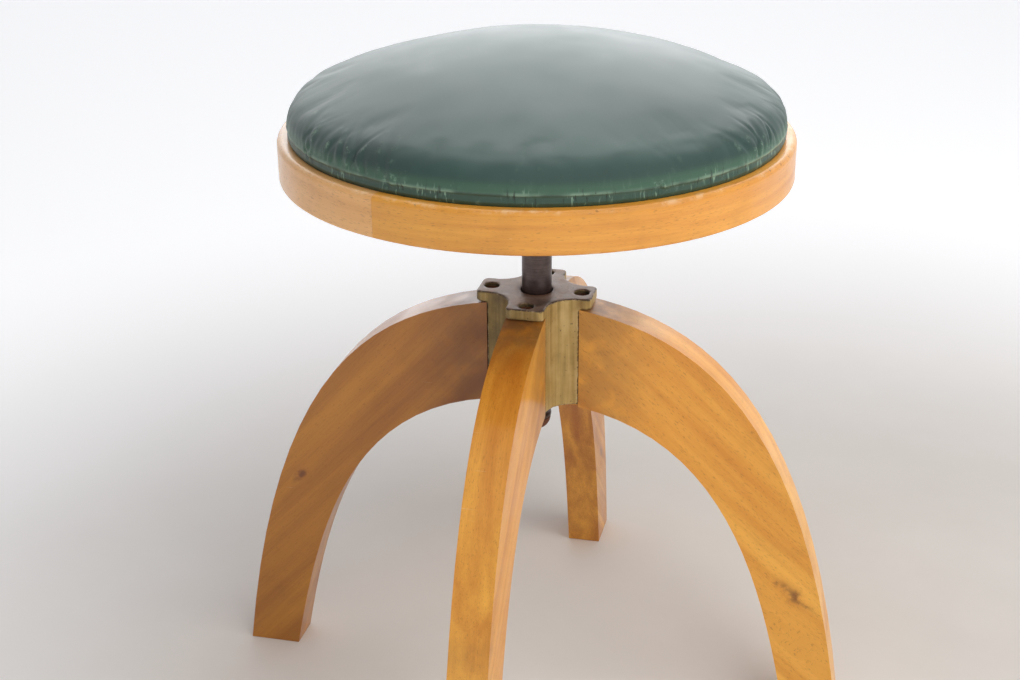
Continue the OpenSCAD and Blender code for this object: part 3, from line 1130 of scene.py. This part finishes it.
def cushion():
    """The leather pad: outline, simulated swell, rim crease, gathers and nicks, as one closed form."""
    rows, crease_row = pad_outline()
    angles = np.arange(COLUMNS) / COLUMNS * TURN
    cos = np.cos(angles)
    sin = np.sin(angles)

    def turned(r, z):
        """Each (r, z) all the way round."""
        return np.stack([np.outer(r, cos), np.outer(r, sin), np.outer(z, np.ones(COLUMNS))], -1)

    points = turned(rows[:, 0], rows[:, 1])
    outward = turned(rows[:, 2], rows[:, 3])
    steps = np.hypot(np.diff(rows[:, 0]), np.diff(rows[:, 1]))
    length = np.concatenate([[0.0], np.cumsum(steps)])
    along = length - length[crease_row]

    relief = pad_relief(rows, points, angles) * SWELL_SHARE
    flat_points = points.reshape(-1, 3)
    soft = noise_at(flat_points, 13).reshape(relief.shape) * 1.1 * MM
    soft += noise_at(flat_points, 34, 2.0).reshape(relief.shape) * 0.35 * MM
    relief += soft * np.clip(along / (25 * MM), 0, 1)[:, None]

    # The crease wanders up and down, and the leather above it rolls over the edge of the pad
    rim_circle = np.c_[cos, sin, np.zeros(COLUMNS)]
    wander = noise_at(rim_circle, 2.3, 6.0) * 0.9 * MM
    strength = 0.85 + 0.5 * noise_at(rim_circle, 5.0, 1.0)
    from_crease = along[:, None] - wander[None, :]
    relief -= 0.35 * MM * strength[None, :] * bell(from_crease - 5 * MM, 4.0 * MM)

    draws = random.Random(41)
    ridge = gathers(angles, along, draws)
    nicks = nicks_and_pinches(angles, along, draws)
    relief += ridge
    relief += nicks
    relief *= (rows[:, 1] >= RING_TOP + 0.4 * MM)[:, None]

    below = [(share, PAD_LOW) for share in (0.30, 0.60, 0.85, 0.985)] + [(1.0, PAD_LOW + 1.5 * MM)]
    mesh = closed_pad(points + outward * relief[:, :, None], below)

    # Masks for the leather's material, from 0 to 1, for the bottom rows too
    pinched = np.abs(nicks) / (0.5 * MM)
    gathered = np.clip(ridge, 0, 1) / (0.5 * MM)
    above = np.clip(from_crease, 0, 1)
    for name, values, at_bottom in (
        ("edge", bell(from_crease - 0.3 * MM, 0.9 * MM), 0),
        ("scuff", np.clip(pinched + gathered, 0, 1), 0),
        ("under", np.clip(-from_crease / (1.0 * MM), 0, 1), 1),
        ("roll", np.clip(from_crease / (0.6 * MM), 0, 1) * np.exp(-((above / (7.0 * MM)) ** 4)), 0),
        ("rim", bell(from_crease + 2 * MM, 6 * MM), 0),
    ):
        values = np.concatenate([np.full((len(below), COLUMNS), at_bottom), values])
        store(mesh, name, np.append(values.ravel(), [at_bottom, 0]))
    return make_object("cushion_leather", mesh)


GREEN_DARK = linear(30, 55, 50)
GREEN_LIGHT = linear(40, 70, 62)
ROLL_PAINTED_LIGHT_GREEN = linear(60, 96, 72)
BAND_PAINTED_REFLECTION_GREEN = linear(42, 72, 56)
RUBBED_GREEN = linear(140, 172, 148)
CRACK_BLACK = linear(22, 32, 26)
DUST_GREY = linear(120, 132, 126)


def leather_material():
    """Dark green leather, polished by use: fine grain, cloudy tone, pale scuffs and cracks near the rim."""
    shader = Shader("green_leather")
    cloud = shader.clouds(9, detail=4, rough=0.6)
    colour = shader.ramp(cloud, [(0.30, GREEN_DARK), (0.70, GREEN_LIGHT)])
    # Painted light: the roll just above the crease is painted a lighter green
    colour = shader.tint(colour, shader.kept("roll"), 0.75, ROLL_PAINTED_LIGHT_GREEN)
    # Painted reflection: the band under the crease is tinted a lighter, greener tone for the ring and floor
    # it reflects
    colour = shader.tint(colour, shader.kept("under"), 0.8, BAND_PAINTED_REFLECTION_GREEN)

    # Short upright cracks and pale rubs near the rim, where the leather is drawn over the edge
    round_it = around_the_ring(shader, -math.pi / 2)
    upright = shader.noise(shader.mapped(round_it, scale=(480, 80, 80)), rough=0.6, bend=0.4)
    groups = shader.noise(shader.mapped(round_it, scale=(45, 45, 45)))
    near_rim = shader.times(shader.kept("rim"), shader.between(groups, 0.36, 0.56))
    cracked = shader.times(near_rim, shader.between(upright, 0.60, 0.65))
    rubbed = shader.times(near_rim, shader.between(upright, 0.40, 0.35))
    scuffs = shader.between(shader.clouds(160, detail=4, rough=0.7), 0.5, 0.68)
    rubbed = shader.math("MAXIMUM", rubbed, shader.times(shader.kept("scuff"), scuffs))
    worn_edge = shader.times(shader.kept("edge"), shader.between(groups, 0.35, 0.6, 0.15, 1.3))
    rubbed = shader.math("MAXIMUM", rubbed, worn_edge)
    colour = shader.tint(colour, rubbed, 0.6, RUBBED_GREEN)
    colour = shader.tint(colour, cracked, 0.8, CRACK_BLACK)
    colour = shader.tint(colour, shader.between(shader.clouds(700), 0.70, 0.78), 0.14, DUST_GREY)

    grain = shader.math("MULTIPLY_ADD", shader.clouds(2600), 0.5, shader.cells(1500))
    relief = shader.bump(grain, 0.05 * MM, 0.5)
    shader.set(
        base_color=colour,
        roughness=shader.between(cloud, 0.3, 0.7, 0.38, 0.46),
        specular_ior_level=0.6,
        normal=shader.bump(shader.times(cracked, -1.0), 0.3 * MM, 0.8, relief),
    )
    return shader.material


leather = cushion()
finish_piece(leather, "seat", leather_material(), ["cover", "stuffing"])


# ------------------------ floor, light and camera

CAMERA_AZIMUTH = 12.58
CAMERA_ELEVATION = 23.74
CAMERA_DISTANCE = 1.1968
CAMERA_AIM = Vector((0, 0, 0.2851))
LENS = 57.26
LENS_SHIFT = -0.0263
LIGHT_AIM = Vector((0, 0, 0.3))
FLOOR_DROP = 0.3 * MM
FLOOR_R = 9.0
SHADED_FLOOR_AT = 0.22
NEAR_FLOOR_DARK = linear(218, 212, 206)
NEAR_FLOOR_LIGHT = linear(225, 220, 215)
FAR_FLOOR = linear(246, 246, 248)


def floor():
    """A plain pale floor that gets paler with distance, where it also glows faintly."""
    bm = bmesh.new()
    bmesh.ops.create_circle(bm, cap_ends=True, radius=FLOOR_R, segments=96)
    plane = make_object("floor", as_mesh(bm, "floor"))
    plane.location.z = -FLOOR_DROP
    shader = Shader("pale_floor")
    x, y, _ = shader.split(shader.mapped(shader.place, shift=(-SHADED_FLOOR_AT, 0, 0)))
    far = shader.between(shader.distance(x, y), 0.28, 1.3)
    mottle = shader.clouds(3.0, detail=5, rough=0.6)
    near_colour = shader.ramp(mottle, [(0.35, NEAR_FLOOR_DARK), (0.65, NEAR_FLOOR_LIGHT)])
    shader.set(
        base_color=shader.mix(far, near_colour, FAR_FLOOR),
        roughness=0.6,
        specular_ior_level=0.12,
        emission_color=(0.98, 0.98, 1.0, 1.0),
        emission_strength=shader.times(far, 0.40),
    )
    plane.data.materials.append(shader.material)


def direction(azimuth, elevation):
    """Unit vector from the object towards a viewer at the azimuth and elevation, in degrees."""
    a = math.radians(azimuth)
    e = math.radians(elevation)
    return Vector((math.sin(a) * math.cos(e), -math.cos(a) * math.cos(e), math.sin(e)))


def place_facing(name, data, target, azimuth, elevation, distance):
    """A light or camera at a distance from the target, turned towards it."""
    made = make_object(name, data)
    back = direction(azimuth, elevation)
    made.location = target + back * distance
    made.rotation_euler = (-back).to_track_quat("-Z", "Y").to_euler()
    return made


def softbox(name, azimuth, elevation, distance, size, power, colour):
    """A large rectangular light that faces the seat."""
    data = bpy.data.lights.new(name, "AREA")
    data.shape = "RECTANGLE"
    data.size, data.size_y = size
    data.energy = power
    data.color = colour
    light = place_facing(name, data, LIGHT_AIM, azimuth, elevation, distance)
    light.visible_camera = False
    return light


def soft_room():
    """A room that is white behind the stool, like a bright wall, and greyer overhead and behind the viewer.

    Reflections see it even but for a bright patch behind the stool, which makes the leather's sheen.
    """
    world = bpy.data.worlds.new("soft_room")
    world.use_nodes = True
    sky = Nodes(world.node_tree)
    place = sky.add("TexCoord").outputs["Generated"]
    away = -direction(CAMERA_AZIMUTH, 0)
    sideways = direction(CAMERA_AZIMUTH + 90, 0)
    sheen = -direction(CAMERA_AZIMUTH, -36)

    def fade(axis, low, high, first, last):
        """Goes smoothly from first to last as the direction turns towards the axis."""
        along = sky.add("VectorMath")
        along.operation = "DOT_PRODUCT"
        sky.feed(along.inputs[0], place)
        sky.feed(along.inputs[1], axis)
        return sky.between(along.outputs["Value"], low, high, first, last)

    soft = sky.times(fade(away, -0.3, 0.8, 0.36, 0.95), fade(UP, 0.3, 0.95, 1.0, 0.5))
    narrow = sky.times(fade(sideways, 0.05, 0.7, 1.0, 0.1), fade(-sideways, 0.05, 0.7, 1.0, 0.1))
    glossy = sky.math("MULTIPLY_ADD", fade(sheen, 0.15, 1.0, 0.0, 2.75), narrow, 0.66)
    choose = sky.add("Mix")
    for socket, value in ((0, sky.add("LightPath").outputs["Is Glossy Ray"]), (2, soft), (3, glossy)):
        sky.feed(choose.inputs[socket], value)
    background = world.node_tree.nodes["Background"]
    sky.fill(background, {"strength": choose.outputs[0], "color": (0.97, 0.98, 1.0, 1.0)})
    scene.world = world


floor()
soft_room()

# The key light is in two parts, and only the weaker one shows in reflections, which keeps its highlight soft
for name, power, in_reflections in (("key_light", 23, False), ("key_glow", 8, True)):
    key = softbox(name, CAMERA_AZIMUTH + 50, 38, 1.7, (1.8, 1.5), power, (1.0, 0.98, 0.95))
    key.visible_glossy = in_reflections
softbox("fill_light", CAMERA_AZIMUTH - 4, 40, 2.4, (1.8, 1.8), 4, (1.0, 0.99, 0.98))

camera_data = bpy.data.cameras.new("camera")
camera_data.sensor_width = 36
camera_data.lens = LENS
camera_data.shift_x = LENS_SHIFT
camera_data.clip_start = 0.05
camera_data.clip_end = 60
scene.camera = place_facing(
    "camera", camera_data, CAMERA_AIM, CAMERA_AZIMUTH, CAMERA_ELEVATION, CAMERA_DISTANCE
)
scene.view_settings.view_transform = "Standard"
